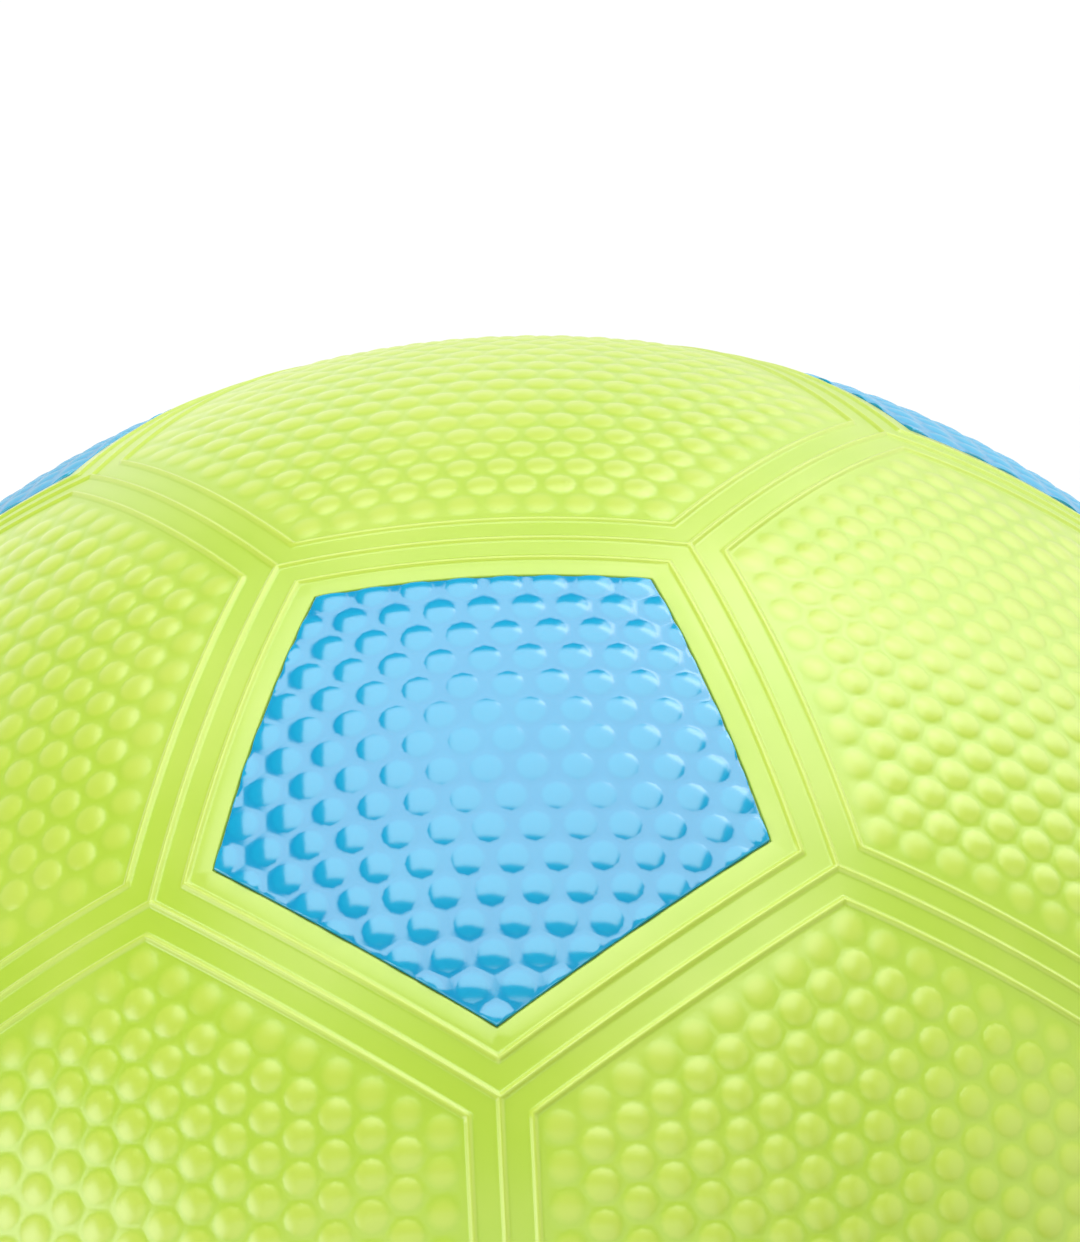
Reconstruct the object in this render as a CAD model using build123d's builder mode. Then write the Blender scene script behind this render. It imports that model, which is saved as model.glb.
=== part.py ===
"""A moulded rubber netball: bladder, thread winding, carcass, 32 ribbed cover panels, inlays and valve.

Millimetres. The origin is the centre of the ball, +Z goes up through the middle of the crown
pentagon, one corner of that pentagon points to -Y, and the valve is at the back, towards +Y.
"""

import math
import os

from build123d import *

os.makedirs("parts", exist_ok=True)

# The ball: a size 5 netball, measured round the crests of its ribs
circumference = 700.0
ball_radius = circumference / (2 * math.pi)

# The wall, from the outside in
cover_thickness = 1.2
carcass_thickness = 0.4
winding_thickness = 0.25
bladder_thickness = 0.5

# The film of rubber cement between two layers, and between two panels side by side
bond_gap = 0.03
joint_gap = 0.04

# The relief of the cover: three ribs along every joint, then a smooth margin, then the pebbled field
rib_height = 0.45
rib_width = 1.6
rib_spacing = 3.4
rib_root = 0.3
field_inset = 5.3
field_rise = 0.40
field_edge_radius = 0.25

# The blue inlay of a five-sided panel, let into the panel inside a wider margin
inlay_inset = 6.15
inlay_depth = 0.45
inlay_gap = 0.05

# The valve: a stem through the whole wall, a flange inside the bladder and a soft core
stem_radius = 5.0
stem_gap = 0.05
stem_recess = 0.3
flange_radius = 12.0
flange_thickness = 1.2
valve_length = 17.0
valve_land_radius = 7.5
core_radius = 3.0
core_gap = 0.05
core_length = 13.0
collar_radius = 3.8
collar_length = 2.5
collar_depth = 6.0
needle_radius = 1.0
needle_depth = 10.0
outlet_radius = 1.2

# The radius of each face that a layer starts from, from the outside in
ground_radius = ball_radius - rib_height
field_radius = ground_radius + field_rise
seat_radius = ground_radius - cover_thickness
carcass_radius = seat_radius - bond_gap
winding_radius = carcass_radius - carcass_thickness - bond_gap
bladder_radius = winding_radius - winding_thickness - bond_gap
air_radius = bladder_radius - bladder_thickness
pocket_radius = ground_radius - inlay_depth
inlay_radius = pocket_radius + bond_gap
flange_seat_radius = air_radius - bond_gap

# The layout: a truncated icosahedron, whose edge is this share of its circumscribed radius
golden_ratio = (1 + math.sqrt(5)) / 2
edge_share = 2 / math.sqrt(1 + 9 * golden_ratio**2)

# The latitude of each ring of panels, from the layout's own angles
pentagon_latitude = math.degrees(math.atan(1 / 2))
crown_hexagon_latitude = math.degrees(math.atan(golden_ratio**2 / 2))
upper_hexagon_latitude = math.degrees(math.atan((3 - math.sqrt(5)) / 4))
corner_azimuths = [-90 + 72 * step for step in range(5)]
side_azimuths = [azimuth + 36 for azimuth in corner_azimuths]
valve_azimuth = 90

# A ball's poles are turned to +Y and -Y, so that no pole or seam falls on a panel
pole_turn = (90, 0, 0)


def side_tilt(sides: int) -> float:
    """Angle from the middle of a panel to the middle of its side, in radians."""
    inner_share = edge_share / (2 * math.tan(math.pi / sides))
    corner_share = edge_share / (2 * math.sin(math.pi / sides))
    return math.atan(inner_share / math.sqrt(1 - corner_share**2))


def inset_apex(sides: int, inset: float) -> float:
    """Height of the point where a panel's side planes meet once they are moved in by the inset."""
    return ground_radius * math.sin(inset / ground_radius) / math.sin(side_tilt(sides))


def wedge(sides: int, inset: float) -> Part:
    """The solid between a panel's side planes, moved in from the joint by the inset."""
    apex = inset_apex(sides, inset)
    with BuildPart() as body:
        for height in (ball_radius / 2, ball_radius + cover_thickness):
            with BuildSketch(Plane.XY.offset(height)):
                RegularPolygon(
                    radius=(height - apex) * math.tan(side_tilt(sides)),
                    side_count=sides,
                    major_radius=False,
                    rotation=180 / sides,
                )
        loft()
    return body.part


def cap(sides: int, inset: float, inner_radius: float, outer_radius: float, edge_radius: float = 0) -> Part:
    """A piece of ball wall between a panel's side planes, with its outer edge rounded if asked."""
    with BuildPart() as body:
        add(wedge(sides, inset))
        Sphere(outer_radius, rotation=pole_turn, mode=Mode.INTERSECT)
        Sphere(inner_radius, rotation=pole_turn, mode=Mode.SUBTRACT)
        if edge_radius:
            outer_face = body.faces().filter_by(GeomType.SPHERE).sort_by(Axis.Z)[-1]
            fillet(outer_face.edges(), edge_radius)
    return body.part


def across(radius: float, offset: float) -> tuple[float, float]:
    """A point of the rib profile: its distance from the joint, measured round the ball, and its radius."""
    angle = offset / ground_radius
    return radius * math.sin(angle), radius * math.cos(angle)


def side_ribs(sides: int) -> Part:
    """Half of the joint rib and the whole border rib along one side, mitred at both corners."""
    tilt = side_tilt(sides)
    joint_normal = (-math.cos(tilt), 0, math.sin(tilt))
    half_sweep = 180 / sides
    root_radius = ground_radius - rib_root
    half_width = rib_width / 2
    half_gap = joint_gap / 2
    middle = Plane(origin=(0, 0, 0), x_dir=joint_normal, z_dir=(0, 1, 0))
    start = middle * Rotation(-half_sweep, 0, 0)
    with BuildPart() as body:
        with BuildSketch(start):
            with BuildLine():
                crest = (half_gap, ball_radius)
                foot = across(ground_radius, half_width)
                TangentArc(crest, foot, tangent=(1, 0))
                Polyline(foot, across(root_radius, half_width), (half_gap, root_radius), crest)
            make_face()
            with BuildLine():
                outer_foot = across(ground_radius, rib_spacing - half_width)
                inner_foot = across(ground_radius, rib_spacing + half_width)
                ThreePointArc(outer_foot, across(ball_radius, rib_spacing), inner_foot)
                Polyline(
                    inner_foot,
                    across(root_radius, rib_spacing + half_width),
                    across(root_radius, rib_spacing - half_width),
                    outer_foot,
                )
            make_face()
        revolve(axis=Axis((0, 0, 0), joint_normal), revolution_arc=2 * half_sweep)
        for end in (-1, 1):
            corner = end * math.pi / sides
            mitre = Plane(origin=(0, 0, 0), z_dir=(-end * math.sin(corner), end * math.cos(corner), 0))
            split(bisect_by=mitre, keep=Keep.BOTTOM)
    return body.part


def ribbed_rim(sides: int) -> Part:
    """A cover panel without its field: the smooth ground with all its ribs."""
    ribs = side_ribs(sides)
    with BuildPart() as body:
        add(cap(sides, joint_gap / 2, seat_radius, ground_radius))
        with PolarLocations(0, sides):
            add(ribs)
    return body.part


def panel_plane(azimuth: float, latitude: float, side_to_south: bool = True) -> Plane:
    """The place of a panel: its local Z points out of the ball and its local X to the middle of a side."""
    turn = math.radians(azimuth)
    rise = math.radians(latitude)
    outward = (math.cos(rise) * math.cos(turn), math.cos(rise) * math.sin(turn), math.sin(rise))
    south = Vector(math.sin(rise) * math.cos(turn), math.sin(rise) * math.sin(turn), -math.cos(rise))
    return Plane(origin=(0, 0, 0), x_dir=south if side_to_south else -south, z_dir=outward)


# Master six-sided panel: ribbed rim and a raised pebbled field up to the pebbles' crests
with BuildPart() as hexagon:
    add(ribbed_rim(6))
    add(cap(6, field_inset, seat_radius, field_radius, field_edge_radius))

# Master five-sided panel: ribbed rim with a pocket for the inlay
with BuildPart() as pentagon:
    add(ribbed_rim(5))
    add(cap(5, inlay_inset, pocket_radius, field_radius), mode=Mode.SUBTRACT)

# Master inlay, seated on the floor of the pocket
with BuildPart() as inlay:
    add(cap(5, inlay_inset + inlay_gap, inlay_radius, field_radius, field_edge_radius))

# Master six-sided panel with a smooth land round the valve and a hole for its stem
with BuildPart() as valve_recess:
    with Locations((0, 0, ball_radius)):
        Cylinder(valve_land_radius, 2 * ball_radius)
    Sphere(ground_radius, rotation=pole_turn, mode=Mode.SUBTRACT)
    split(bisect_by=Plane.XY, keep=Keep.TOP)
with BuildPart() as valve_hexagon:
    add(hexagon.part)
    add(valve_recess.part, mode=Mode.SUBTRACT)
    with Locations((0, 0, ball_radius)):
        Cylinder(stem_radius + stem_gap, ball_radius, mode=Mode.SUBTRACT)

# The heights of the valve along its own axis, from the ball's centre
stem_top = ground_radius - stem_recess
stem_bottom = stem_top - valve_length
cavity_floor = stem_top - core_length
collar_top = stem_top - collar_depth
collar_bottom = collar_top - collar_length
flange_seat = math.sqrt(flange_seat_radius**2 - stem_radius**2)
flange_edge = math.sqrt(flange_seat_radius**2 - flange_radius**2)
flange_middle = (stem_radius + flange_radius) / 2
flange_crown = math.sqrt(flange_seat_radius**2 - flange_middle**2)

# Master valve body: stem, flange that follows the inside of the bladder, and the core's cavity
with BuildPart() as valve_body_master:
    with BuildSketch(Plane.XZ):
        with BuildLine():
            cavity_radius = core_radius + core_gap
            groove_radius = collar_radius + core_gap
            Polyline(
                (outlet_radius, stem_bottom),
                (outlet_radius, cavity_floor),
                (cavity_radius, cavity_floor),
                (cavity_radius, collar_bottom - core_gap),
                (groove_radius, collar_bottom - core_gap),
                (groove_radius, collar_top + core_gap),
                (cavity_radius, collar_top + core_gap),
                (cavity_radius, stem_top),
                (stem_radius, stem_top),
                (stem_radius, flange_seat),
            )
            ThreePointArc(
                (stem_radius, flange_seat), (flange_middle, flange_crown), (flange_radius, flange_edge)
            )
            Polyline(
                (flange_radius, flange_edge),
                (flange_radius, flange_edge - flange_thickness),
                (stem_radius, flange_edge - flange_thickness),
                (stem_radius, stem_bottom),
                (outlet_radius, stem_bottom),
            )
        make_face()
    revolve(axis=Axis.Z)

# Master valve core: a soft plug with a retaining collar and a blind hole for the pump needle
with BuildPart() as valve_core_master:
    with BuildSketch(Plane.XZ):
        with BuildLine():
            Polyline(
                (0, cavity_floor),
                (core_radius, cavity_floor),
                (core_radius, collar_bottom),
                (collar_radius, collar_bottom),
                (collar_radius, collar_top),
                (core_radius, collar_top),
                (core_radius, stem_top),
                (needle_radius, stem_top),
                (needle_radius, stem_top - needle_depth),
                (0, stem_top - needle_depth),
                close=True,
            )
        make_face()
    revolve(axis=Axis.Z)

# The inner layers, each a whole ball wall with a hole for the valve stem
valve_plane = panel_plane(valve_azimuth, upper_hexagon_latitude)
layers = {
    "carcass": (carcass_radius, carcass_thickness),
    "thread_winding": (winding_radius, winding_thickness),
    "bladder": (bladder_radius, bladder_thickness),
}
for name, (outer_radius, thickness) in layers.items():
    with BuildPart() as layer:
        Sphere(outer_radius)
        Sphere(outer_radius - thickness, mode=Mode.SUBTRACT)
        with Locations(valve_plane.offset(ball_radius)):
            Cylinder(stem_radius + stem_gap, ball_radius, mode=Mode.SUBTRACT)
    layer.part.label = name
    export_step(layer.part, f"parts/{name}.step")

# Where every panel, inlay and valve piece goes
places = {
    "valve_body": (valve_body_master, valve_plane),
    "valve_core": (valve_core_master, valve_plane),
    "crown_pentagon": (pentagon, panel_plane(side_azimuths[0], 90)),
    "crown_inlay": (inlay, panel_plane(side_azimuths[0], 90)),
    "base_pentagon": (pentagon, panel_plane(corner_azimuths[0], -90, side_to_south=False)),
    "base_inlay": (inlay, panel_plane(corner_azimuths[0], -90, side_to_south=False)),
}
for number, (corner, side) in enumerate(zip(corner_azimuths, side_azimuths), start=1):
    upper_place = panel_plane(corner, pentagon_latitude)
    lower_place = panel_plane(side, -pentagon_latitude, side_to_south=False)
    upper_master = valve_hexagon if side == valve_azimuth else hexagon
    places[f"crown_hexagon_{number}"] = (hexagon, panel_plane(side, crown_hexagon_latitude))
    places[f"upper_pentagon_{number}"] = (pentagon, upper_place)
    places[f"upper_inlay_{number}"] = (inlay, upper_place)
    places[f"upper_hexagon_{number}"] = (upper_master, panel_plane(side, upper_hexagon_latitude))
    places[f"lower_hexagon_{number}"] = (hexagon, panel_plane(corner, -upper_hexagon_latitude))
    places[f"lower_pentagon_{number}"] = (pentagon, lower_place)
    places[f"lower_inlay_{number}"] = (inlay, lower_place)
    places[f"base_hexagon_{number}"] = (hexagon, panel_plane(corner, -crown_hexagon_latitude))

for name, (master, place) in places.items():
    with BuildPart(place) as piece:
        add(master.part)
    piece.part.label = name
    export_step(piece.part, f"parts/{name}.step")
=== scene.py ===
"""Netball: pebbled rubber panels with ribbed joints and blue inlays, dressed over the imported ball."""

import logging
import math
import random
from dataclasses import dataclass
from enum import Enum
from typing import Any

import bmesh
import bpy
from mathutils import Matrix, Vector


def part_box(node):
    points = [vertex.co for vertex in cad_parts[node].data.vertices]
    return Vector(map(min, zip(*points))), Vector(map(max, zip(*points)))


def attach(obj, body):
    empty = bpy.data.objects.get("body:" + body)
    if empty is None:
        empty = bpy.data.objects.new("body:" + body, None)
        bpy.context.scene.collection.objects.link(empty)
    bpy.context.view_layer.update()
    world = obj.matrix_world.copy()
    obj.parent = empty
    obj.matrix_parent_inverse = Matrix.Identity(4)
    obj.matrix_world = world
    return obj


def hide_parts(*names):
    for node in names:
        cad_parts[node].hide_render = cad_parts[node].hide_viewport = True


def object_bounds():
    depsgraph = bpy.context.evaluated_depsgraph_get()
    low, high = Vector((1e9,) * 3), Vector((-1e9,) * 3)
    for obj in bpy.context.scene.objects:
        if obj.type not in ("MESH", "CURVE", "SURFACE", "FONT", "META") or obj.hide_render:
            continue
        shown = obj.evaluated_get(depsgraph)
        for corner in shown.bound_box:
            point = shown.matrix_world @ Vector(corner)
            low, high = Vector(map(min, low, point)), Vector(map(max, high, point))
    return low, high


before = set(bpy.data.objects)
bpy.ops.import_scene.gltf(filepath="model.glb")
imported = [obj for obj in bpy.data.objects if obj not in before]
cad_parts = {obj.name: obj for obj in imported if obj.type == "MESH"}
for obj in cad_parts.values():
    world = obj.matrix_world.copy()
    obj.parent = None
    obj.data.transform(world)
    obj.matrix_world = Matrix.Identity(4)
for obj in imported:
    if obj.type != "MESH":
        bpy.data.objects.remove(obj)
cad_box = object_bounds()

MM = 0.001
AXIS = Vector((0.0, 0.0, 1.0))
LOG = logging.getLogger("netball")
# the moulded cover keeps this far under the solid ball's crests and over its carcass
CREST_CLEARANCE = 0.02 * MM
SEAT_CLEARANCE = 0.03 * MM
# vertices that lie closer than this are merged, and a cut takes in those that lie this close to its plane
MERGE_DISTANCE = 0.002 * MM
CUT_DISTANCE = 1e-8
# a level is told from the next one with this much room, and a row of pebbles with this share of a row
LEVEL_SLACK = 0.1 * MM
ROW_SLACK = 0.1
# edges that bend by more than this stay sharp
SHARP_ANGLE = math.radians(50)


class Outline(Enum):
    """The two outlines that the cover's panels have, by their number of sides."""

    PENTAGON = 5
    HEXAGON = 6


class Middle(Enum):
    """What a panel holds inside its smooth margin."""

    PEBBLES = "pebbles"
    POCKET = "pocket"
    VALVE = "pebbles round the valve"


def linear(colour: str) -> tuple[float, float, float, float]:
    """Turns an sRGB hex colour to linear.

    Args:
        colour: six hex digits after a hash sign.

    Returns:
        Linear red, green and blue, and an alpha of 1.
    """
    channels = [int(colour[at:at + 2], 16) / 255 for at in (1, 3, 5)]
    red, green, blue = (c / 12.92 if c <= 0.04045 else ((c + 0.055) / 1.055) ** 2.4 for c in channels)
    return red, green, blue, 1.0


def direction(azimuth: float, elevation: float) -> Vector:
    """Finds the unit vector that points a given way.

    Args:
        azimuth: degrees from +X about +Z.
        elevation: degrees up from the XY plane.

    Returns:
        The vector.
    """
    turn = math.radians(azimuth)
    rise = math.radians(elevation)
    return Vector((math.cos(rise) * math.cos(turn), math.cos(rise) * math.sin(turn), math.sin(rise)))


def add_node(
    tree: bpy.types.NodeTree, kind: str, inputs: dict[str | int, Any], **settings: Any,
) -> bpy.types.Node:
    """Adds a node with its settings, values and links.

    Args:
        tree: the node tree that gets the node.
        kind: Blender's name for the node's type.
        inputs: a value, or the socket to link from, for each named or numbered input.
        **settings: the node's own properties.

    Returns:
        The new node.
    """
    node = tree.nodes.new(kind)
    for name, value in settings.items():
        setattr(node, name, value)
    for key, value in inputs.items():
        if isinstance(value, bpy.types.NodeSocket):
            tree.links.new(value, node.inputs[key])
        else:
            node.inputs[key].default_value = value
    return node


def new_material(name: str) -> tuple[bpy.types.Material, bpy.types.NodeTree]:
    """Makes an empty node material.

    Args:
        name: the material's name.

    Returns:
        The material and its node tree.
    """
    material = bpy.data.materials.new(name)
    material.use_nodes = True
    material.node_tree.nodes.clear()
    return material, material.node_tree


@dataclass(frozen=True)
class CoverSizes:
    """Levels of the moulded cover, as radii from the ball's centre, and sizes of its relief, in metres."""

    pebble_top: float
    seat: float
    pebble_rise: float = 0.30 * MM
    rib_rise: float = 0.33 * MM
    rib_half_width: float = 0.56 * MM
    rib_spacing: float = 3.4 * MM
    rib_steps: int = 5
    rib_foot: float = 0.12 * MM
    joint_gap: float = 0.002 * MM
    field_start: float = 4.5 * MM
    pocket_inset: float = 6.15 * MM
    pocket_depth: float = 0.45 * MM
    pocket_lip: float = 0.15 * MM
    lip_share: float = 0.3
    side_steps: int = 44

    @property
    def ground(self) -> float:
        """Level of the smooth margins and of the valleys between pebbles."""
        return self.pebble_top - self.pebble_rise

    @property
    def crest(self) -> float:
        """Level of the ribs' crests."""
        return self.ground + self.rib_rise

    @property
    def pocket(self) -> float:
        """Level of the floor that an inlay lies on."""
        return self.ground - self.pocket_depth


@dataclass(frozen=True)
class PebbleGrain:
    """Round pebbles on a triangular lattice, moulded into a field of rubber.

    Along and across stretch the lattice, and shift moves it. Wander and spread are how far a pebble
    strays from its place and from its size. The outer rows rise to the outer share only.
    """

    pitch: float = 4.35 * MM
    radius: float = 2.0 * MM
    along: float = 1.0
    across: float = 1.0
    shift: float = 0.0
    wander: float = 0.08 * MM
    spread: float = 0.03
    outer_rows: float = 0.5
    outer_share: float = 0.6
    corner_cuts: int = 1
    seed: int = 5
    # shares of a pebble's radius and of its rise, from its rim to its top
    profile: tuple[tuple[float, float], ...] = (
        (1.0, 0.0), (0.85, 0.28), (0.62, 0.62), (0.32, 0.90), (0.0, 1.0),
    )

    def row(self, point: Vector) -> float:
        """Counts rows outwards from the middle of the lattice.

        Args:
            point: a place on the flat lattice.

        Returns:
            The number of the six-sided ring of lattice points that holds the place.
        """
        across = []
        for turn in range(3):
            angle = math.radians(60 * turn)
            across.append(abs(point.x * math.cos(angle) + point.y * math.sin(angle)))
        return max(across) / (self.pitch * math.cos(math.radians(30)))

    def sheet(self, rows: int, first: float, last: float, rise: float) -> bmesh.types.BMesh:
        """Models a flat sheet of pebbles.

        Args:
            rows: rows of lattice points from the middle to the sheet's edge.
            first: pebbles start at this row.
            last: pebbles end at this row.
            rise: height of the pebbles.

        Returns:
            A bmesh in the XY plane, pebbles up, with its middle at the origin.
        """
        chance = random.Random(self.seed)
        bm = bmesh.new()
        bmesh.ops.create_circle(bm, cap_ends=True, segments=6, radius=rows * self.pitch)
        bmesh.ops.poke(bm, faces=bm.faces[:])
        bmesh.ops.subdivide_edges(bm, edges=bm.edges[:], cuts=rows - 1, use_grid_fill=True)
        low, high = first - ROW_SLACK, last + ROW_SLACK
        seeds = [v for v in bm.verts if low < self.row(v.co) < high and not v.is_boundary]
        bmesh.ops.scale(bm, verts=bm.verts[:], vec=(self.across, self.along, 1.0))
        bmesh.ops.translate(bm, verts=bm.verts[:], vec=(self.shift, 0.0, 0.0))
        for vert in seeds:
            vert.co.x += chance.uniform(-self.wander, self.wander)
            vert.co.y += chance.uniform(-self.wander, self.wander)
        made = bmesh.ops.bevel(
            bm, geom=seeds, offset=self.radius, offset_type="OFFSET", segments=1, profile=0.5,
            affect="VERTICES", material=-1,
        )
        pebbles = made["faces"]
        rims = list({edge for face in pebbles for edge in face.edges})
        bmesh.ops.subdivide_edges(bm, edges=rims, cuts=self.corner_cuts)
        for face in pebbles:
            middle = face.calc_center_median()
            size = self.radius * chance.uniform(1 - self.spread, 1 + self.spread)
            for vert in face.verts:
                vert.co = middle + (vert.co - middle).normalized() * size
        # the flats between pebbles have many corners, so each is cut into a fan
        domes = set(pebbles)
        valleys = [face for face in bm.faces if face not in domes and len(face.verts) > 4]
        bmesh.ops.poke(bm, faces=valleys)
        for outer, inner in zip(self.profile[:-2], self.profile[1:-1]):
            bmesh.ops.inset_individual(
                bm, faces=pebbles, thickness=(outer[0] - inner[0]) * self.radius,
                depth=(inner[1] - outer[1]) * rise, use_even_offset=True,
            )
        bmesh.ops.poke(bm, faces=pebbles, offset=(1.0 - self.profile[-2][1]) * rise, center_mode="MEAN")
        for vert in bm.verts:
            if self.row(vert.co) > last - self.outer_rows:
                vert.co.z *= self.outer_share
        return bm


def wrap(bm: bmesh.types.BMesh, level: float) -> None:
    """Bends a flat sheet over the ball, keeping distances from its middle.

    Args:
        bm: the flat sheet, about the origin.
        level: radius that the sheet's zero height comes to.
    """
    for vert in bm.verts:
        reach = math.hypot(vert.co.x, vert.co.y)
        angle = reach / level
        radius = level + vert.co.z
        spread = math.sin(angle) / reach if reach > 0.0 else 0.0
        vert.co = Vector((vert.co.x * spread, vert.co.y * spread, math.cos(angle))) * radius


def rims_of(bm: bmesh.types.BMesh, low: float, high: float) -> list[bmesh.types.BMEdge]:
    """Finds the open edges between two levels.

    Args:
        bm: the mesh.
        low: least radius.
        high: greatest radius.

    Returns:
        The open edges whose ends both lie between the two radii.
    """
    return [e for e in bm.edges if e.is_boundary and all(low < v.co.length < high for v in e.verts)]


def extrude_loop(
    bm: bmesh.types.BMesh, edges: list[bmesh.types.BMEdge],
) -> tuple[list[bmesh.types.BMVert], list[bmesh.types.BMEdge]]:
    """Extrudes a loop of open edges in place.

    Args:
        bm: the mesh.
        edges: the loop.

    Returns:
        The new loop's vertices and its edges.
    """
    made = bmesh.ops.extrude_edge_only(bm, edges=edges)["geom"]
    verts = [item for item in made if isinstance(item, bmesh.types.BMVert)]
    fresh = set(verts)
    lines = [item for item in made if isinstance(item, bmesh.types.BMEdge)]
    loop = [line for line in lines if all(v in fresh for v in line.verts)]
    return verts, loop


def draw_in(vert: bmesh.types.BMVert, share: float) -> None:
    """Moves a vertex over its own sphere, towards the panel's axis or away from it.

    Args:
        vert: the vertex.
        share: the new angle from the axis, as a share of the old one.
    """
    radius = vert.co.length
    around = math.atan2(vert.co.y, vert.co.x)
    angle = math.acos(max(-1.0, min(1.0, vert.co.z / radius))) * share
    out = math.sin(angle)
    vert.co = radius * Vector((out * math.cos(around), out * math.sin(around), math.cos(angle)))


def close_inwards(bm: bmesh.types.BMesh, edges: list[bmesh.types.BMEdge], rings: int) -> None:
    """Closes a loop round the axis with rings that follow the sphere.

    Args:
        bm: the mesh.
        edges: the loop.
        rings: number of rings, the last of them a fan.
    """
    level = edges[0].verts[0].co.length
    for left in range(rings - 1, 0, -1):
        verts, edges = extrude_loop(bm, edges)
        for vert in verts:
            draw_in(vert, left / (left + 1))
    cap = bmesh.ops.contextual_create(bm, geom=edges)["faces"]
    tips = bmesh.ops.poke(bm, faces=cap)["verts"]
    for tip in tips:
        tip.co = AXIS * level


def finished(bm: bmesh.types.BMesh, name: str) -> bpy.types.Mesh:
    """Sets normals and soft shading and makes a mesh.

    Args:
        bm: a closed bmesh, which is freed.
        name: the mesh's name.

    Returns:
        The mesh, with sharp edges where faces meet steeply.
    """
    bmesh.ops.recalc_face_normals(bm, faces=bm.faces[:])
    for face in bm.faces:
        face.smooth = True
    for edge in bm.edges:
        if edge.is_manifold and edge.calc_face_angle(0.0) > SHARP_ANGLE:
            edge.smooth = False
    open_edges = sum(1 for e in bm.edges if not e.is_manifold)
    LOG.info("%s: %d faces, %d open edges", name, len(bm.faces), open_edges)
    mesh = bpy.data.meshes.new(name)
    bm.to_mesh(mesh)
    bm.free()
    return mesh


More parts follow.
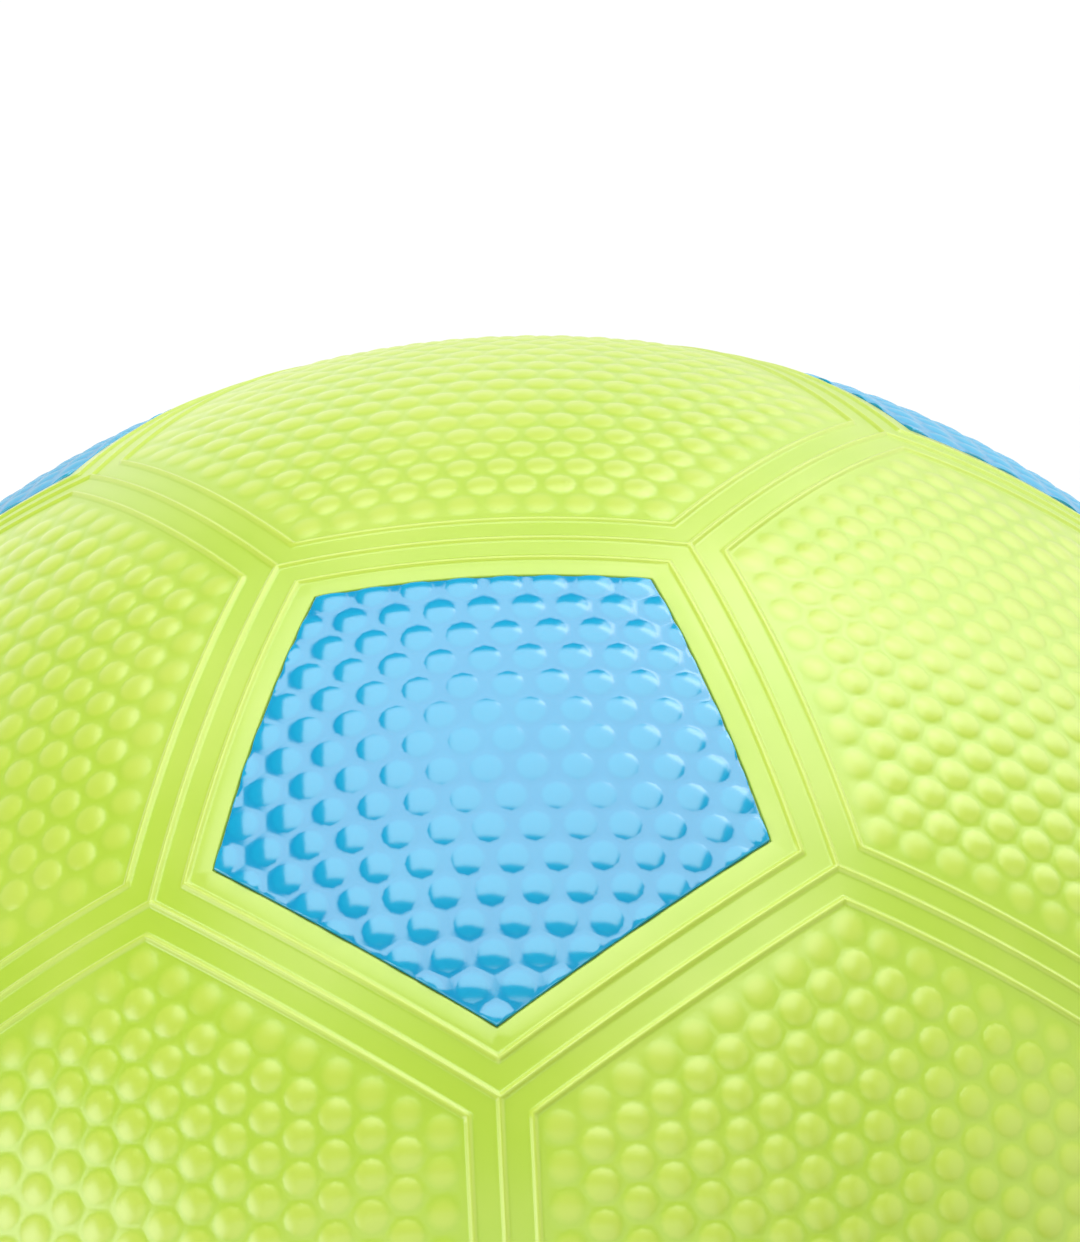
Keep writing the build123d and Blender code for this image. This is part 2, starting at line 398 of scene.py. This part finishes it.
@dataclass
class CoverPanel:
    """One moulded panel: half of each joint rib, a border rib, a smooth margin and what the margin holds.

    Hole reach is in hole radii, and open edges within it belong to the hole. Seat ring is how far out
    the ring on the seat lies, as a share. Mitre overlap is in degrees, past a side's two corners.
    """

    outline: Outline
    middle: Middle
    sizes: CoverSizes
    grain: PebbleGrain
    pebble_rows: int = 9
    lattice_rows: int = 10
    hole_radius: float = 5.05 * MM
    hole_sides: int = 48
    hole_reach: float = 3.0
    bare_rows: int = 2
    inner_rings: int = 5
    seat_ring: float = 0.5
    mitre_overlap: float = 1.0

    @property
    def edge(self) -> float:
        """Edge of the solid with twelve pentagons and twenty hexagons, in a ball of radius 1."""
        return 4.0 / math.sqrt(58.0 + 18.0 * math.sqrt(5.0))

    @property
    def side_angle(self) -> float:
        """Half the turn that one side of the panel takes about the ball's centre."""
        return math.asin(0.5 * self.edge)

    @property
    def tilt(self) -> float:
        """Angle between the panel's axis and the plane of a side joint."""
        half = math.pi / self.outline.value
        inner = self.edge / (2 * math.tan(half))
        outer = self.edge / (2 * math.sin(half))
        return math.atan(inner / math.sqrt(1 - outer * outer))

    @property
    def joint_normal(self) -> Vector:
        """Unit normal of the joint plane of the side towards +X, pointing into the panel."""
        return Vector((-math.cos(self.tilt), 0.0, math.sin(self.tilt)))

    def rib_level(self, away: float) -> float:
        """Radius of a rib's surface at a distance from its middle line."""
        wave = math.cos(0.5 * math.pi * away / self.sizes.rib_half_width)
        return self.sizes.ground + self.sizes.rib_rise * wave * wave

    def section(self) -> list[tuple[float, float]]:
        """Draws the rim's cross-section.

        Returns:
            Distances from the joint along the surface, each with its radius, from the seat up and inwards.
        """
        sizes = self.sizes
        clear = sizes.rib_half_width + sizes.rib_foot
        points = [(sizes.joint_gap, sizes.seat)]
        for step in range(sizes.rib_steps + 1):
            away = sizes.rib_half_width * step / sizes.rib_steps
            points.append((max(away, sizes.joint_gap), self.rib_level(away)))
        # a loop just off each rib's foot keeps the ground between the ribs flat to the eye
        points.append((clear, sizes.ground))
        points.append((sizes.rib_spacing - clear, sizes.ground))
        for step in range(-sizes.rib_steps, sizes.rib_steps + 1):
            away = sizes.rib_half_width * step / sizes.rib_steps
            points.append((sizes.rib_spacing + away, self.rib_level(away)))
        points.append((sizes.rib_spacing + clear, sizes.ground))
        if self.middle is not Middle.POCKET:
            return points
        bend = sizes.lip_share * sizes.pocket_lip
        points.append((sizes.pocket_inset - sizes.pocket_lip, sizes.ground))
        points.append((sizes.pocket_inset - bend, sizes.ground - bend))
        points.append((sizes.pocket_inset, sizes.ground - sizes.pocket_lip))
        points.append((sizes.pocket_inset, sizes.pocket))
        return points

    def rim(self) -> bmesh.types.BMesh:
        """Models the ribbed rim.

        Returns:
            A bmesh of all sides, mitred at the corners, open at the seat and at the inner edge.
        """
        bm = bmesh.new()
        normal = self.joint_normal
        middle = normal.cross(Vector((0.0, -1.0, 0.0)))
        half = self.side_angle + math.radians(self.mitre_overlap)
        start = Matrix.Rotation(-half, 3, normal)
        verts = []
        for away, radius in self.section():
            angle = away / self.sizes.ground
            outward = math.sin(angle) * normal + math.cos(angle) * middle
            verts.append(bm.verts.new(start @ (radius * outward)))
        edges = [bm.edges.new(pair) for pair in zip(verts[:-1], verts[1:])]
        bmesh.ops.spin(
            bm, geom=verts + edges, cent=(0, 0, 0), axis=normal, angle=2 * half, steps=self.sizes.side_steps,
        )
        corner = math.pi / self.outline.value
        for turn in (1.0, -1.0):
            mitre = Vector((-math.sin(corner), turn * math.cos(corner), 0.0))
            bmesh.ops.bisect_plane(
                bm, geom=bm.verts[:] + bm.edges[:] + bm.faces[:], dist=CUT_DISTANCE, plane_co=(0, 0, 0),
                plane_no=mitre, clear_outer=True,
            )
        side = bm.verts[:] + bm.edges[:] + bm.faces[:]
        for turn in range(1, self.outline.value):
            copy = bmesh.ops.duplicate(bm, geom=side)["geom"]
            spun = Matrix.Rotation(turn * 2 * corner, 3, "Z")
            moved = [item for item in copy if isinstance(item, bmesh.types.BMVert)]
            bmesh.ops.rotate(bm, verts=moved, cent=(0, 0, 0), matrix=spun)
        bmesh.ops.remove_doubles(bm, verts=bm.verts[:], dist=MERGE_DISTANCE)
        return bm

    def trim(self, bm: bmesh.types.BMesh, inset: float) -> None:
        """Cuts a wrapped sheet to the panel's outline.

        Args:
            bm: the sheet, bent over the ball.
            inset: distance of the cut from the joints.
        """
        reach = self.sizes.ground * math.sin(inset / self.sizes.ground)
        for turn in range(self.outline.value):
            inward = Matrix.Rotation(turn * 2 * math.pi / self.outline.value, 3, "Z") @ self.joint_normal
            bmesh.ops.bisect_plane(
                bm, geom=bm.verts[:] + bm.edges[:] + bm.faces[:], dist=CUT_DISTANCE, plane_co=inward * reach,
                plane_no=-inward, clear_outer=True,
            )

    def pebbled_field(self) -> bmesh.types.BMesh:
        """Models the field of pebbles inside the margin.

        Returns:
            A bmesh bent over the ball and cut to the outline, with an opening where the valve comes through.
        """
        first = self.bare_rows + 1 if self.middle is Middle.VALVE else 0
        bm = self.grain.sheet(self.lattice_rows, first, self.pebble_rows, self.sizes.pebble_rise)
        if self.middle is Middle.VALVE:
            bare = self.bare_rows + ROW_SLACK
            land = [f for f in bm.faces if all(self.grain.row(v.co) < bare for v in f.verts)]
            bmesh.ops.delete(bm, geom=land, context="FACES")
        wrap(bm, self.sizes.ground)
        self.trim(bm, self.sizes.field_start)
        return bm

    def join_field(self, bm: bmesh.types.BMesh) -> None:
        """Adds the pebbled field to a rim and closes the strip between them.

        Args:
            bm: the rim, which gets the field.
        """
        field = self.pebbled_field()
        scratch = bpy.data.meshes.new("field")
        field.to_mesh(scratch)
        field.free()
        bm.from_mesh(scratch)
        bpy.data.meshes.remove(scratch)
        near_hole = self.hole_reach * self.hole_radius
        open_edges = rims_of(bm, self.sizes.pocket, self.sizes.crest)
        outer = [e for e in open_edges if math.hypot(e.verts[0].co.x, e.verts[0].co.y) > near_hole]
        bmesh.ops.bridge_loops(bm, edges=outer)

    def bore(self, bm: bmesh.types.BMesh) -> list[bmesh.types.BMEdge]:
        """Adds the round hole that the valve's stem fills.

        Args:
            bm: the panel, with its middle left open.

        Returns:
            The hole's lower loop, on the seat.
        """
        sizes = self.sizes
        brink = rims_of(bm, sizes.pocket, sizes.crest)
        angle = math.asin(self.hole_radius / sizes.ground)
        place = Matrix.Translation(AXIS * sizes.ground * math.cos(angle))
        bmesh.ops.create_circle(
            bm, cap_ends=False, segments=self.hole_sides, radius=self.hole_radius, matrix=place,
        )
        mouth = [e for e in bm.edges if e.is_wire]
        bmesh.ops.bridge_loops(bm, edges=brink + mouth)
        verts, loop = extrude_loop(bm, [e for e in mouth if e.is_valid])
        for vert in verts:
            vert.co.z = math.sqrt(sizes.seat ** 2 - self.hole_radius ** 2)
        return loop

    def mesh(self) -> bpy.types.Mesh:
        """Models the whole panel.

        Returns:
            A closed mesh with its middle on +Z and the middle of a side towards +X.
        """
        sizes = self.sizes
        bm = self.rim()
        if self.middle is Middle.POCKET:
            close_inwards(bm, rims_of(bm, sizes.pocket - LEVEL_SLACK, sizes.ground), self.inner_rings)
        else:
            self.join_field(bm)
        seat = rims_of(bm, sizes.seat - LEVEL_SLACK, sizes.seat + LEVEL_SLACK)
        if self.middle is Middle.VALVE:
            hole = self.bore(bm)
            verts, seat = extrude_loop(bm, seat)
            for vert in verts:
                draw_in(vert, self.seat_ring)
            bmesh.ops.bridge_loops(bm, edges=seat + hole)
        else:
            close_inwards(bm, seat, self.inner_rings)
        return finished(bm, "moulded_panel")


@dataclass
class Inlay:
    """The blue five-sided field of pebbles that lies in a pentagon's pocket.

    Reach is roughly how far the edge is from the inlay's middle.
    """

    panel: CoverPanel
    grain: PebbleGrain
    gap: float = 0.2 * MM
    seat_gap: float = 0.03 * MM
    reach: float = 25.0 * MM
    edge_round: float = 0.15 * MM
    # shares of the rounding that each loop of the edge goes down and out
    edge_steps: tuple[tuple[float, float], ...] = ((0.3, 0.7), (1.0, 0.3))
    lattice_rows: int = 11
    inner_rings: int = 4

    def mesh(self) -> bpy.types.Mesh:
        """Models the inlay.

        Returns:
            A closed mesh with its middle on +Z and a side's middle towards +X, pebbles cut off at its edge.
        """
        sizes = self.panel.sizes
        bm = self.grain.sheet(self.lattice_rows, 0, self.lattice_rows, sizes.pebble_rise)
        wrap(bm, sizes.ground)
        self.panel.trim(bm, sizes.pocket_inset + self.gap + self.edge_round)
        bmesh.ops.remove_doubles(bm, verts=bm.verts[:], dist=MERGE_DISTANCE)
        loop = [e for e in bm.edges if e.is_boundary]
        for down, out in self.edge_steps:
            verts, loop = extrude_loop(bm, loop)
            for vert in verts:
                draw_in(vert, 1 + out * self.edge_round / self.reach)
                vert.co = vert.co.normalized() * (vert.co.length - down * self.edge_round)
        verts, loop = extrude_loop(bm, loop)
        for vert in verts:
            vert.co = vert.co.normalized() * (sizes.pocket + self.seat_gap)
        close_inwards(bm, loop, self.inner_rings)
        return finished(bm, "moulded_inlay")


@dataclass(frozen=True)
class Place:
    """Where a panel or inlay sits on the ball, in degrees."""

    node: str
    azimuth: float
    latitude: float
    side_to_south: bool = True

    def matrix(self) -> Matrix:
        """Finds the turn to this place.

        Returns:
            The turn of a master that has its middle on +Z and a side's middle towards +X.
        """
        outward = direction(self.azimuth, self.latitude)
        south = direction(self.azimuth, self.latitude - 90.0)
        side = south if self.side_to_south else -south
        return Matrix((side, outward.cross(side), outward)).transposed().to_4x4()


@dataclass(frozen=True)
class MouldedRubber:
    """Natural rubber cover, pressed in a hot mould: a satin skin, paler where worn, with painted shade that
    makes it darker in the valleys.

    The bloom is the dusty veil that wax makes as it comes out of rubber, and it shows at shallow angles.
    The lacquer carries the gloss. Its index is higher than a real lacquer's, because that gave the
    photographed highlights. The rubber's own index is given against the lacquer over it, which bends
    light almost alike, so little is mirrored between the two.
    Grain, grain depth and mottle are in millimetres.
    """

    name: str
    colour: str
    # painted shade: the darker colour that the valleys between pebbles and ribs take
    painted_valley_shade: str
    worn: str
    roughness: float
    lacquer: float
    bloom: float = 0.0
    bloom_tint: str = "#FFFDEB"
    bloom_roughness: float = 0.5
    lacquer_roughness: float = 0.17
    lacquer_ior: float = 2.5
    ior: float = 1.05
    grain: float = 0.5
    grain_depth: float = 0.03
    grain_strength: float = 0.25
    mottle: float = 16.0
    valley_share: float = 0.5
    worn_mottle: tuple[float, float] = (0.45, 0.75)
    worn_most: float = 0.35
    rough_mottle: tuple[float, float] = (0.3, 0.7)
    rough_change: tuple[float, float] = (-0.04, 0.05)

    def material(self, sizes: CoverSizes) -> bpy.types.Material:
        """Makes the finish.

        Args:
            sizes: the cover's levels, which tell crests from valleys.

        Returns:
            The material.
        """
        material, tree = new_material(self.name)
        place = add_node(tree, "ShaderNodeTexCoord", {}).outputs["Object"]
        radius = add_node(tree, "ShaderNodeVectorMath", {0: place}, operation="LENGTH").outputs["Value"]
        height = add_node(
            tree, "ShaderNodeMapRange",
            {"Value": radius, "From Min": sizes.ground, "From Max": sizes.crest},
        ).outputs["Result"]
        # mould grain of half a millimetre, drawn a little coarser than the real skin so that it shows
        grain = add_node(
            tree, "ShaderNodeTexNoise", {"Vector": place, "Scale": 1 / (self.grain * MM), "Detail": 2.0},
        ).outputs["Fac"]
        mottle = add_node(
            tree, "ShaderNodeTexNoise", {"Vector": place, "Scale": 1 / (self.mottle * MM), "Detail": 3.0},
        ).outputs["Fac"]
        # painted shade: towards the bottom of the valleys the colour turns to the darker valley tone,
        # standing in for the shade there
        depth = add_node(
            tree, "ShaderNodeMapRange", {"Value": height, "From Max": self.valley_share},
            interpolation_type="SMOOTHSTEP",
        ).outputs["Result"]
        valley_shaded_colour = add_node(
            tree, "ShaderNodeMix", {0: depth, 6: linear(self.painted_valley_shade), 7: linear(self.colour)},
            data_type="RGBA",
        ).outputs[2]
        wear = add_node(
            tree, "ShaderNodeMapRange",
            {"Value": mottle, "From Min": self.worn_mottle[0], "From Max": self.worn_mottle[1],
             "To Max": self.worn_most},
        ).outputs["Result"]
        colour = add_node(
            tree, "ShaderNodeMix", {0: wear, 6: valley_shaded_colour, 7: linear(self.worn)}, data_type="RGBA",
        ).outputs[2]
        rough = add_node(
            tree, "ShaderNodeMapRange",
            {"Value": mottle, "From Min": self.rough_mottle[0], "From Max": self.rough_mottle[1],
             "To Min": self.roughness + self.rough_change[0],
             "To Max": self.roughness + self.rough_change[1]},
        ).outputs["Result"]
        bump = add_node(
            tree, "ShaderNodeBump",
            {"Height": grain, "Strength": self.grain_strength, "Distance": self.grain_depth * MM},
        ).outputs["Normal"]
        shader = add_node(
            tree, "ShaderNodeBsdfPrincipled",
            {"Base Color": colour, "Roughness": rough, "Normal": bump, "IOR": self.ior,
             "Sheen Weight": self.bloom, "Sheen Roughness": self.bloom_roughness,
             "Sheen Tint": linear(self.bloom_tint),
             "Coat Weight": self.lacquer, "Coat Roughness": self.lacquer_roughness,
             "Coat IOR": self.lacquer_ior},
        )
        add_node(tree, "ShaderNodeOutputMaterial", {"Surface": shader.outputs["BSDF"]})
        return material


@dataclass(frozen=True)
class PlainRubber:
    """Plain moulded rubber of the valve and of the parts inside the cover: an even skin with faint clouds.

    Grain, grain depth and mottle are in millimetres.
    """

    name: str
    colour: str
    cloud: str
    roughness: float
    rough_change: float = 0.08
    grain: float = 0.4
    grain_depth: float = 0.05
    grain_strength: float = 0.3
    mottle: float = 9.0
    ior: float = 1.52

    def material(self) -> bpy.types.Material:
        """Makes the finish.

        Returns:
            The material.
        """
        material, tree = new_material(self.name)
        place = add_node(tree, "ShaderNodeTexCoord", {}).outputs["Object"]
        grain = add_node(
            tree, "ShaderNodeTexNoise", {"Vector": place, "Scale": 1 / (self.grain * MM), "Detail": 3.0},
        ).outputs["Fac"]
        mottle = add_node(
            tree, "ShaderNodeTexNoise", {"Vector": place, "Scale": 1 / (self.mottle * MM), "Detail": 4.0},
        ).outputs["Fac"]
        colour = add_node(
            tree, "ShaderNodeMix", {0: mottle, 6: linear(self.colour), 7: linear(self.cloud)},
            data_type="RGBA",
        ).outputs[2]
        rough = add_node(
            tree, "ShaderNodeMapRange",
            {"Value": mottle, "To Min": self.roughness - self.rough_change,
             "To Max": self.roughness + self.rough_change},
        ).outputs["Result"]
        bump = add_node(
            tree, "ShaderNodeBump",
            {"Height": grain, "Strength": self.grain_strength, "Distance": self.grain_depth * MM},
        ).outputs["Normal"]
        shader = add_node(
            tree, "ShaderNodeBsdfPrincipled",
            {"Base Color": colour, "Roughness": rough, "Normal": bump, "IOR": self.ior},
        )
        add_node(tree, "ShaderNodeOutputMaterial", {"Surface": shader.outputs["BSDF"]})
        return material


@dataclass(frozen=True)
class WoundThread:
    """Nylon thread wound round the bladder in crossing turns, set in latex: pale strands, low sheen.

    Spacing and strand depth are in millimetres, turns in degrees.
    """

    name: str
    colour: str
    latex: str
    spacing: float = 0.9
    turns: tuple[float, ...] = (20.0, 75.0, 140.0)
    waver: float = 0.4
    strand_depth: float = 0.2
    strand_strength: float = 0.6
    roughness: float = 0.55
    ior: float = 1.53

    def material(self) -> bpy.types.Material:
        """Makes the finish.

        Returns:
            The material.
        """
        material, tree = new_material(self.name)
        place = add_node(tree, "ShaderNodeTexCoord", {}).outputs["Object"]
        # at a scale of 1 the wave texture's bands lie a tenth of pi apart
        scale = math.pi / (10 * self.spacing * MM)
        layers = []
        for turn in self.turns:
            angle = math.radians(turn)
            turned = add_node(
                tree, "ShaderNodeMapping", {"Vector": place, "Rotation": (angle, 0.0, angle)},
            ).outputs["Vector"]
            layers.append(add_node(
                tree, "ShaderNodeTexWave", {"Vector": turned, "Scale": scale, "Distortion": self.waver},
            ).outputs["Fac"])
        strands = layers[0]
        for layer in layers[1:]:
            strands = add_node(
                tree, "ShaderNodeMath", {0: strands, 1: layer}, operation="MAXIMUM",
            ).outputs[0]
        colour = add_node(
            tree, "ShaderNodeMix", {0: strands, 6: linear(self.latex), 7: linear(self.colour)},
            data_type="RGBA",
        ).outputs[2]
        bump = add_node(
            tree, "ShaderNodeBump",
            {"Height": strands, "Strength": self.strand_strength, "Distance": self.strand_depth * MM},
        ).outputs["Normal"]
        shader = add_node(
            tree, "ShaderNodeBsdfPrincipled",
            {"Base Color": colour, "Roughness": self.roughness, "Normal": bump, "IOR": self.ior},
        )
        add_node(tree, "ShaderNodeOutputMaterial", {"Surface": shader.outputs["BSDF"]})
        return material


@dataclass
class Cover:
    """The ball's cover: twenty pebbled hexagons and twelve pentagons with blue inlays."""

    sizes: CoverSizes
    grain: PebbleGrain
    inlay_grain: PebbleGrain
    lime: MouldedRubber
    blue: MouldedRubber
    turns: int = 5
    valve_node: str = "upper_hexagon_3"

    def places(self) -> tuple[list[Place], list[Place], list[Place]]:
        """Lists the places of the cover's pieces.

        Returns:
            The places of the hexagons, the pentagons and the inlays.
        """
        step = 360.0 / self.turns
        corners = [-90.0 + step * k for k in range(self.turns)]
        sides = [corner + 0.5 * step for corner in corners]
        # latitudes of the pentagons round the ball, and of the hexagons near its poles and near its belt
        golden = (1 + math.sqrt(5)) / 2
        five = math.degrees(math.atan(0.5))
        near_pole = math.degrees(math.atan(golden ** 2 / 2))
        near_belt = math.degrees(math.atan((3 - math.sqrt(5)) / 4))
        hexagons, pentagons, inlays = [], [], []
        # the crown's inlay is turned so that its rows of pebbles follow the side towards +Y
        pentagons.append(Place("crown_pentagon", sides[0], 90.0))
        inlays.append(Place("crown_inlay", sides[2], 90.0))
        pentagons.append(Place("base_pentagon", corners[0], -90.0, False))
        inlays.append(Place("base_inlay", corners[0], -90.0, False))
        for k in range(self.turns):
            hexagons.append(Place(f"crown_hexagon_{k + 1}", sides[k], near_pole))
            hexagons.append(Place(f"upper_hexagon_{k + 1}", sides[k], near_belt))
            hexagons.append(Place(f"lower_hexagon_{k + 1}", corners[k], -near_belt))
            hexagons.append(Place(f"base_hexagon_{k + 1}", corners[k], -near_pole))
            pentagons.append(Place(f"upper_pentagon_{k + 1}", corners[k], five))
            inlays.append(Place(f"upper_inlay_{k + 1}", corners[k], five))
            pentagons.append(Place(f"lower_pentagon_{k + 1}", sides[k], -five, False))
            inlays.append(Place(f"lower_inlay_{k + 1}", sides[k], -five, False))
        return hexagons, pentagons, inlays

    def put(self, master: bpy.types.Mesh, place: Place) -> None:
        """Puts a copy of a master in place of its CAD node.

        Args:
            master: the dressed master mesh.
            place: where the copy goes.
        """
        mesh = master.copy()
        mesh.name = f"{place.node}_mesh"
        mesh.transform(place.matrix())
        piece = bpy.data.objects.new(f"{place.node}_moulded", mesh)
        bpy.context.scene.collection.objects.link(piece)
        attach(piece, "root")
        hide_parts(place.node)
        LOG.info("%s: %d faces", piece.name, len(mesh.polygons))

    def build(self) -> None:
        """Models the masters, dresses them and puts their copies in place."""
        lime = self.lime.material(self.sizes)
        blue = self.blue.material(self.sizes)
        pebbled = CoverPanel(Outline.HEXAGON, Middle.PEBBLES, self.sizes, self.grain).mesh()
        valved = CoverPanel(Outline.HEXAGON, Middle.VALVE, self.sizes, self.grain).mesh()
        pocketed = CoverPanel(Outline.PENTAGON, Middle.POCKET, self.sizes, self.grain)
        framed = pocketed.mesh()
        inlaid = Inlay(pocketed, self.inlay_grain).mesh()
        for master, finish in ((pebbled, lime), (valved, lime), (framed, lime), (inlaid, blue)):
            master.materials.append(finish)
        hexagons, pentagons, inlays = self.places()
        for place in hexagons:
            self.put(valved if place.node == self.valve_node else pebbled, place)
        for place in pentagons:
            self.put(framed, place)
        for place in inlays:
            self.put(inlaid, place)
        for master in (pebbled, valved, framed, inlaid):
            bpy.data.meshes.remove(master)


@dataclass
class Core:
    """The layers under the cover and the valve, which keep their CAD shapes."""

    finishes: dict[str, PlainRubber | WoundThread]

    def dress(self) -> None:
        """Gives each CAD node its finish."""
        for node, finish in self.finishes.items():
            material = finish.material()
            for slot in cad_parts[node].material_slots:
                slot.material = material
            LOG.info("%s: dressed in %s", node, material.name)


@dataclass
class Softbox:
    """A square studio lamp that faces the ball: angles in degrees, distance and size in metres."""

    name: str
    azimuth: float
    elevation: float
    distance: float
    size: float
    radiance: float

    def build(self) -> None:
        """Hangs the lamp."""
        towards = direction(self.azimuth, self.elevation)
        lamp = bpy.data.lights.new(self.name, "AREA")
        lamp.shape = "SQUARE"
        lamp.size = self.size
        lamp.energy = self.radiance * math.pi * self.size ** 2
        holder = bpy.data.objects.new(self.name, lamp)
        holder.location = towards * self.distance
        holder.rotation_euler = towards.to_track_quat("Z", "Y").to_euler()
        bpy.context.scene.collection.objects.link(holder)
        LOG.info("%s: lamp of %.2f W", self.name, lamp.energy)


@dataclass
class Studio:
    """Floor, lamps, surroundings and camera, in metres and degrees, with the lens in millimetres.

    Front is the azimuth of the ball's front, which the camera's own azimuth starts from.
    """

    floor_level: float
    lamps: list[Softbox]
    floor_size: float = 40.0
    floor_tone: str = "#FAFAFA"
    glow: float = 0.7
    room_tone: str = "#FFFFFF"
    room_light: float = 0.09
    front: float = -90.0
    camera_azimuth: float = 3.22
    camera_elevation: float = 59.44
    camera_roll: float = -5.69
    camera_tilt: float = 4.63
    camera_distance: float = 0.9669
    lens: float = 275.64
    sensor: float = 36.0

    def build_floor(self) -> None:
        """Lays the pale floor, which shows white to the camera and keeps the ball's shadow."""
        bm = bmesh.new()
        bmesh.ops.create_grid(bm, x_segments=1, y_segments=1, size=0.5 * self.floor_size)
        bmesh.ops.translate(bm, verts=bm.verts[:], vec=(0.0, 0.0, self.floor_level))
        mesh = bpy.data.meshes.new("floor")
        bm.to_mesh(mesh)
        bm.free()
        floor = bpy.data.objects.new("floor", mesh)
        bpy.context.scene.collection.objects.link(floor)
        material, tree = new_material("painted_floor")
        rays = add_node(tree, "ShaderNodeLightPath", {}).outputs
        seen = rays["Is Camera Ray"]
        for kind in ("Is Glossy Ray", "Is Transmission Ray"):
            seen = add_node(tree, "ShaderNodeMath", {0: seen, 1: rays[kind]}, operation="MAXIMUM").outputs[0]
        share = add_node(tree, "ShaderNodeMath", {0: seen, 1: self.glow}, operation="MULTIPLY").outputs[0]
        paint = add_node(tree, "ShaderNodeBsdfDiffuse", {"Color": linear(self.floor_tone)})
        white = add_node(tree, "ShaderNodeEmission", {"Strength": 1.0})
        mixed = add_node(
            tree, "ShaderNodeMixShader", {0: share, 1: paint.outputs["BSDF"], 2: white.outputs["Emission"]},
        )
        add_node(tree, "ShaderNodeOutputMaterial", {"Surface": mixed.outputs["Shader"]})
        mesh.materials.append(material)

    def build_surroundings(self) -> None:
        """Sets the even, dim light of the room."""
        world = bpy.data.worlds.new("grey_room")
        world.use_nodes = True
        tree = world.node_tree
        tree.nodes.clear()
        room = add_node(
            tree, "ShaderNodeBackground", {"Color": linear(self.room_tone), "Strength": self.room_light},
        )
        add_node(tree, "ShaderNodeOutputWorld", {"Surface": room.outputs["Background"]})
        bpy.context.scene.world = world

    def build_camera(self) -> None:
        """Sets the camera as for the photograph: from above, aimed over the middle, a little rolled."""
        back = direction(self.front + self.camera_azimuth, self.camera_elevation)
        aim = back.to_track_quat("Z", "Y").to_matrix()
        aim = aim @ Matrix.Rotation(math.radians(self.camera_roll), 3, "Z")
        aim = aim @ Matrix.Rotation(math.radians(self.camera_tilt), 3, "X")
        lens = bpy.data.cameras.new("camera")
        lens.sensor_fit = "HORIZONTAL"
        lens.sensor_width = self.sensor
        lens.lens = self.lens
        camera = bpy.data.objects.new("camera", lens)
        camera.matrix_world = Matrix.Translation(back * self.camera_distance) @ aim.to_4x4()
        bpy.context.scene.collection.objects.link(camera)
        bpy.context.scene.camera = camera

    def build(self) -> None:
        """Builds the whole studio."""
        bpy.context.scene.view_settings.view_transform = "Standard"
        self.build_floor()
        self.build_surroundings()
        for lamp in self.lamps:
            lamp.build()
        self.build_camera()


def main() -> None:
    """Builds the cover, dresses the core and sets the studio."""
    logging.basicConfig(level=logging.INFO, format="%(message)s")
    sizes = CoverSizes(
        pebble_top=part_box("crown_inlay")[1][2] - CREST_CLEARANCE,
        seat=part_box("carcass")[1][2] + SEAT_CLEARANCE,
    )
    for name, level in (("pebbles", sizes.pebble_top), ("ground", sizes.ground), ("seat", sizes.seat)):
        LOG.info("%s at a radius of %.3f mm", name, level / MM)
    cover = Cover(
        sizes=sizes,
        grain=PebbleGrain(),
        inlay_grain=PebbleGrain(along=1.10, across=0.97, shift=-1.4 * MM, seed=8),
        # each finish's second colour is painted shade for the valleys between pebbles and ribs
        lime=MouldedRubber(
            "lime_moulded_rubber", colour="#C3DD42", painted_valley_shade="#B3D628", worn="#CEE35F", roughness=0.45,
            lacquer=0.48, lacquer_roughness=0.3, bloom=0.55,
        ),
        blue=MouldedRubber(
            "blue_moulded_rubber", colour="#06A7D4", painted_valley_shade="#009BCD", worn="#1EB0DA", roughness=0.30,
            lacquer=0.55,
        ),
    )
    cover.build()
    Core({
        "carcass": PlainRubber("carcass_sheet_rubber", colour="#CDBD9A", cloud="#BFAE88", roughness=0.7),
        "thread_winding": WoundThread("wound_nylon_thread", colour="#E2DFD2", latex="#C9BFA4"),
        "bladder": PlainRubber("butyl_bladder_rubber", colour="#1B1B1C", cloud="#232324", roughness=0.6),
        "valve_body": PlainRubber("valve_moulded_rubber", colour="#222223", cloud="#2B2B2C", roughness=0.5),
        "valve_core": PlainRubber("valve_core_rubber", colour="#303031", cloud="#39393A", roughness=0.5),
    }).dress()
    Studio(
        floor_level=cad_box[0][2],
        lamps=[
            Softbox("key_softbox", azimuth=82.0, elevation=58.0, distance=1.05, size=1.2, radiance=2.3),
            Softbox("side_panel", azimuth=54.0, elevation=17.0, distance=1.4, size=1.0, radiance=2.2),
            Softbox("left_panel", azimuth=196.0, elevation=25.0, distance=1.4, size=0.9, radiance=3.0),
            Softbox("front_fill", azimuth=-92.0, elevation=40.0, distance=1.6, size=2.0, radiance=1.12),
            Softbox("right_fill", azimuth=-8.0, elevation=28.0, distance=1.4, size=1.0, radiance=0.8),
        ],
    ).build()


if __name__ == "__main__":
    main()
